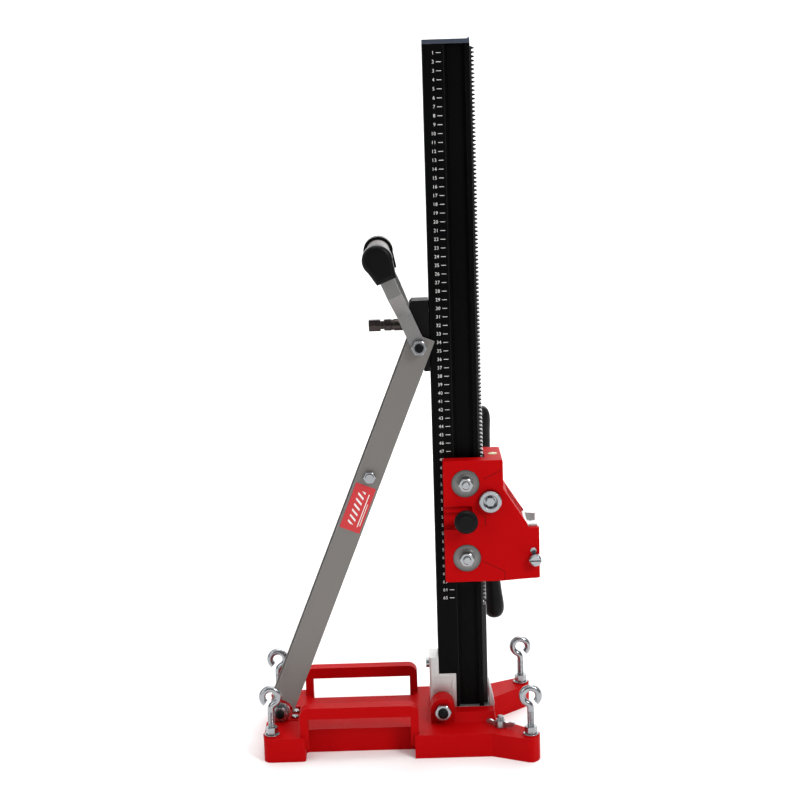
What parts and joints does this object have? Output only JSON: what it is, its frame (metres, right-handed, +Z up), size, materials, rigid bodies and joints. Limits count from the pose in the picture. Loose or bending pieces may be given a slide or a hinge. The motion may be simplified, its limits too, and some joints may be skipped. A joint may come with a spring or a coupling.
{
  "type": "core drill rig",
  "caption": "Core drill stand: cast base with carry handles, tilting toothed column on a strut, geared carriage with feed bar, levelling eye bolts.",
  "frame": {"origin": "underside of the base on the middle plane, straight below the tilt pivot", "axes": "+Z up along the column, +X towards the drilling side, +Y towards the feed bar"},
  "size_m": [0.3384, 0.2296, 0.8327],
  "materials": {
    "painted_red": "semi-gloss enamel over cast metal",
    "plated_steel": "zinc plated",
    "black_anodised": "black anodised",
    "cap_blue": "moulded",
    "rack_steel": "blackened steel, bright tooth tips",
    "bare_aluminium": "machined",
    "strut_grey": "grey metallic coat",
    "label_red": "printed label with a plain pattern",
    "lever_steel": "zinc plated",
    "black_plastic": "moulded",
    "sleeve_grey": "satin",
    "black_block": "black coat",
    "vial": "tinted",
    "bronze": "sintered",
    "pad": "friction lining",
    "roller_plastic": "moulded"
  },
  "bodies": {
    "base": {"base_casting": "painted_red", "pivot_bolt": "plated_steel", "pivot_nuts": "plated_steel", "pivot_caps": "black_plastic", "levelling_nuts": "plated_steel", "levelling_washers": "plated_steel", "strut_bracket": "painted_red", "bracket_screws": "plated_steel", "strut_base_bolt": "plated_steel", "strut_base_washers": "plated_steel", "strut_base_nut": "plated_steel", "base_bolt_cap": "black_plastic", "wing_stud": "plated_steel"},
    "column": {"column_extrusion": "black_anodised", "column_cap": "cap_blue", "gear_rack": "rack_steel", "column_foot": "bare_aluminium", "foot_screw": "plated_steel"},
    "tilt_clamp": {"clamp_block": "black_block"},
    "spindle": {"clamp_spindle": "plated_steel"},
    "strut": {"strut_channel": "strut_grey", "label_plate": "label_red", "strut_top_bolt": "plated_steel", "strut_top_nut": "plated_steel", "top_bolt_cap": "black_plastic", "strut_cross_bolt": "plated_steel", "strut_cross_nut": "plated_steel", "strut_spacer": "plated_steel"},
    "lever": {"lever_frame": "lever_steel", "grip_sleeve": "sleeve_grey", "grip_boot_near": "black_plastic", "grip_boot_far": "black_plastic"},
    "carriage": {"carriage_body": "painted_red", "machine_plate": "bare_aluminium", "plate_screws": "plated_steel", "dowel_pins": "plated_steel", "level_vial": "vial", "pinion_bushes": "bronze", "roller_studs": "plated_steel", "roller_discs": "plated_steel", "roller_nuts": "plated_steel"},
    "upper_rollers": {"upper_rollers": "roller_plastic"},
    "lower_rollers": {"lower_rollers": "roller_plastic"},
    "pinion": {"pinion_shaft": "plated_steel", "handle_hub": "plated_steel", "hub_pin": "plated_steel"},
    "feed_bar": {"feed_bar": "plated_steel", "bar_grips": "black_plastic"},
    "brake_pad": {"brake_pad": "pad"},
    "brake_knob": {"lock_knob": "black_plastic"},
    "clamp_bolt": {"clamp_bolt": "plated_steel"},
    "leveller_front_near": {"eye_bolt_front_near": "plated_steel"},
    "leveller_front_far": {"eye_bolt_front_far": "plated_steel"},
    "leveller_rear_near": {"eye_bolt_rear_near": "plated_steel"},
    "leveller_rear_far": {"eye_bolt_rear_far": "plated_steel"},
    "wing_nut": {"wing_nut": "plated_steel"}
  },
  "joints": [
    {"name": "column_tilt", "type": "hinge", "parent": "base", "child": "column", "pos_m": [0, 0, 0.044], "axis": [0, -1, 0], "range_deg": [0, 30]},
    {"name": "slider_travel", "type": "slide", "parent": "column", "child": "tilt_clamp", "axis": [0, 0, 1], "range_m": [0, 0.108]},
    {"name": "strut_swing", "type": "hinge", "parent": "tilt_clamp", "child": "strut", "pos_m": [-0.016, 0, 0.483], "axis": [0, -1, 0], "range_deg": [0, 2.6]},
    {"name": "lever_swing", "type": "hinge", "parent": "strut", "child": "lever", "pos_m": [-0.016, 0, 0.483], "axis": [0, -1, 0], "range_deg": [-20, 110]},
    {"name": "spindle_turn", "type": "hinge", "parent": "tilt_clamp", "child": "spindle", "pos_m": [-0.05, 0, 0.5065], "axis": [1, 0, 0], "range_deg": [-360, 90]},
    {"name": "carriage_travel", "type": "slide", "parent": "column", "child": "carriage", "axis": [0, 0, 1], "range_m": [-0.105, 0.47]},
    {"name": "pinion_turn", "type": "hinge", "parent": "carriage", "child": "pinion", "pos_m": [0.0622, 0, 0.3], "axis": [0, 1, 0], "range_deg": [-3592, 803]},
    {"name": "feed_bar_slide", "type": "slide", "parent": "pinion", "child": "feed_bar", "axis": [-0.0523, 0, 0.9986], "range_m": [0, 0.11]},
    {"name": "upper_roller_turn", "type": "hinge", "parent": "carriage", "child": "upper_rollers", "pos_m": [0.0338, 0, 0.3214], "axis": [0, 1, 0], "range_deg": [-525, 2345]},
    {"name": "lower_roller_turn", "type": "hinge", "parent": "carriage", "child": "lower_rollers", "pos_m": [0.0333, 0, 0.2309], "axis": [0, 1, 0], "range_deg": [-2345, 525]},
    {"name": "pad_travel", "type": "slide", "parent": "carriage", "child": "brake_pad", "axis": [0, 1, 0], "range_m": [-0.00075, 0.0005]},
    {"name": "knob_turn", "type": "hinge", "parent": "brake_pad", "child": "brake_knob", "pos_m": [0.033, 0, 0.2795], "axis": [0, 1, 0], "range_deg": [-181, 121]},
    {"name": "clamp_bolt_turn", "type": "hinge", "parent": "carriage", "child": "clamp_bolt", "pos_m": [0.1136, -0.03, 0.2285], "axis": [0, 1, 0], "range_deg": [-360, 90]},
    {"name": "wing_nut_turn", "type": "hinge", "parent": "base", "child": "wing_nut", "pos_m": [0.068, -0.06, 0.03], "axis": [0, 0, 1], "range_deg": [-360, 360]},
    {"name": "level_front_near", "type": "slide", "parent": "base", "child": "leveller_front_near", "axis": [0, 0, 1], "range_m": [-0.012, 0.008]},
    {"name": "level_front_far", "type": "slide", "parent": "base", "child": "leveller_front_far", "axis": [0, 0, 1], "range_m": [-0.012, 0.008]},
    {"name": "level_rear_near", "type": "slide", "parent": "base", "child": "leveller_rear_near", "axis": [0, 0, 1], "range_m": [-0.012, 0.008]},
    {"name": "level_rear_far", "type": "slide", "parent": "base", "child": "leveller_rear_far", "axis": [0, 0, 1], "range_m": [-0.012, 0.008]}
  ],
  "couplings": [
    {"joint": "slider_travel", "follows": "column_tilt", "m_per_rad": 0.20526},
    {"joint": "strut_swing", "follows": "column_tilt", "ratio": 0.084958},
    {"joint": "pinion_turn", "follows": "carriage_travel", "rad_per_m": -133.33},
    {"joint": "upper_roller_turn", "follows": "carriage_travel", "rad_per_m": 86.957},
    {"joint": "lower_roller_turn", "follows": "carriage_travel", "rad_per_m": -86.957},
    {"joint": "knob_turn", "follows": "pad_travel", "rad_per_m": 4188.8}
  ]
}
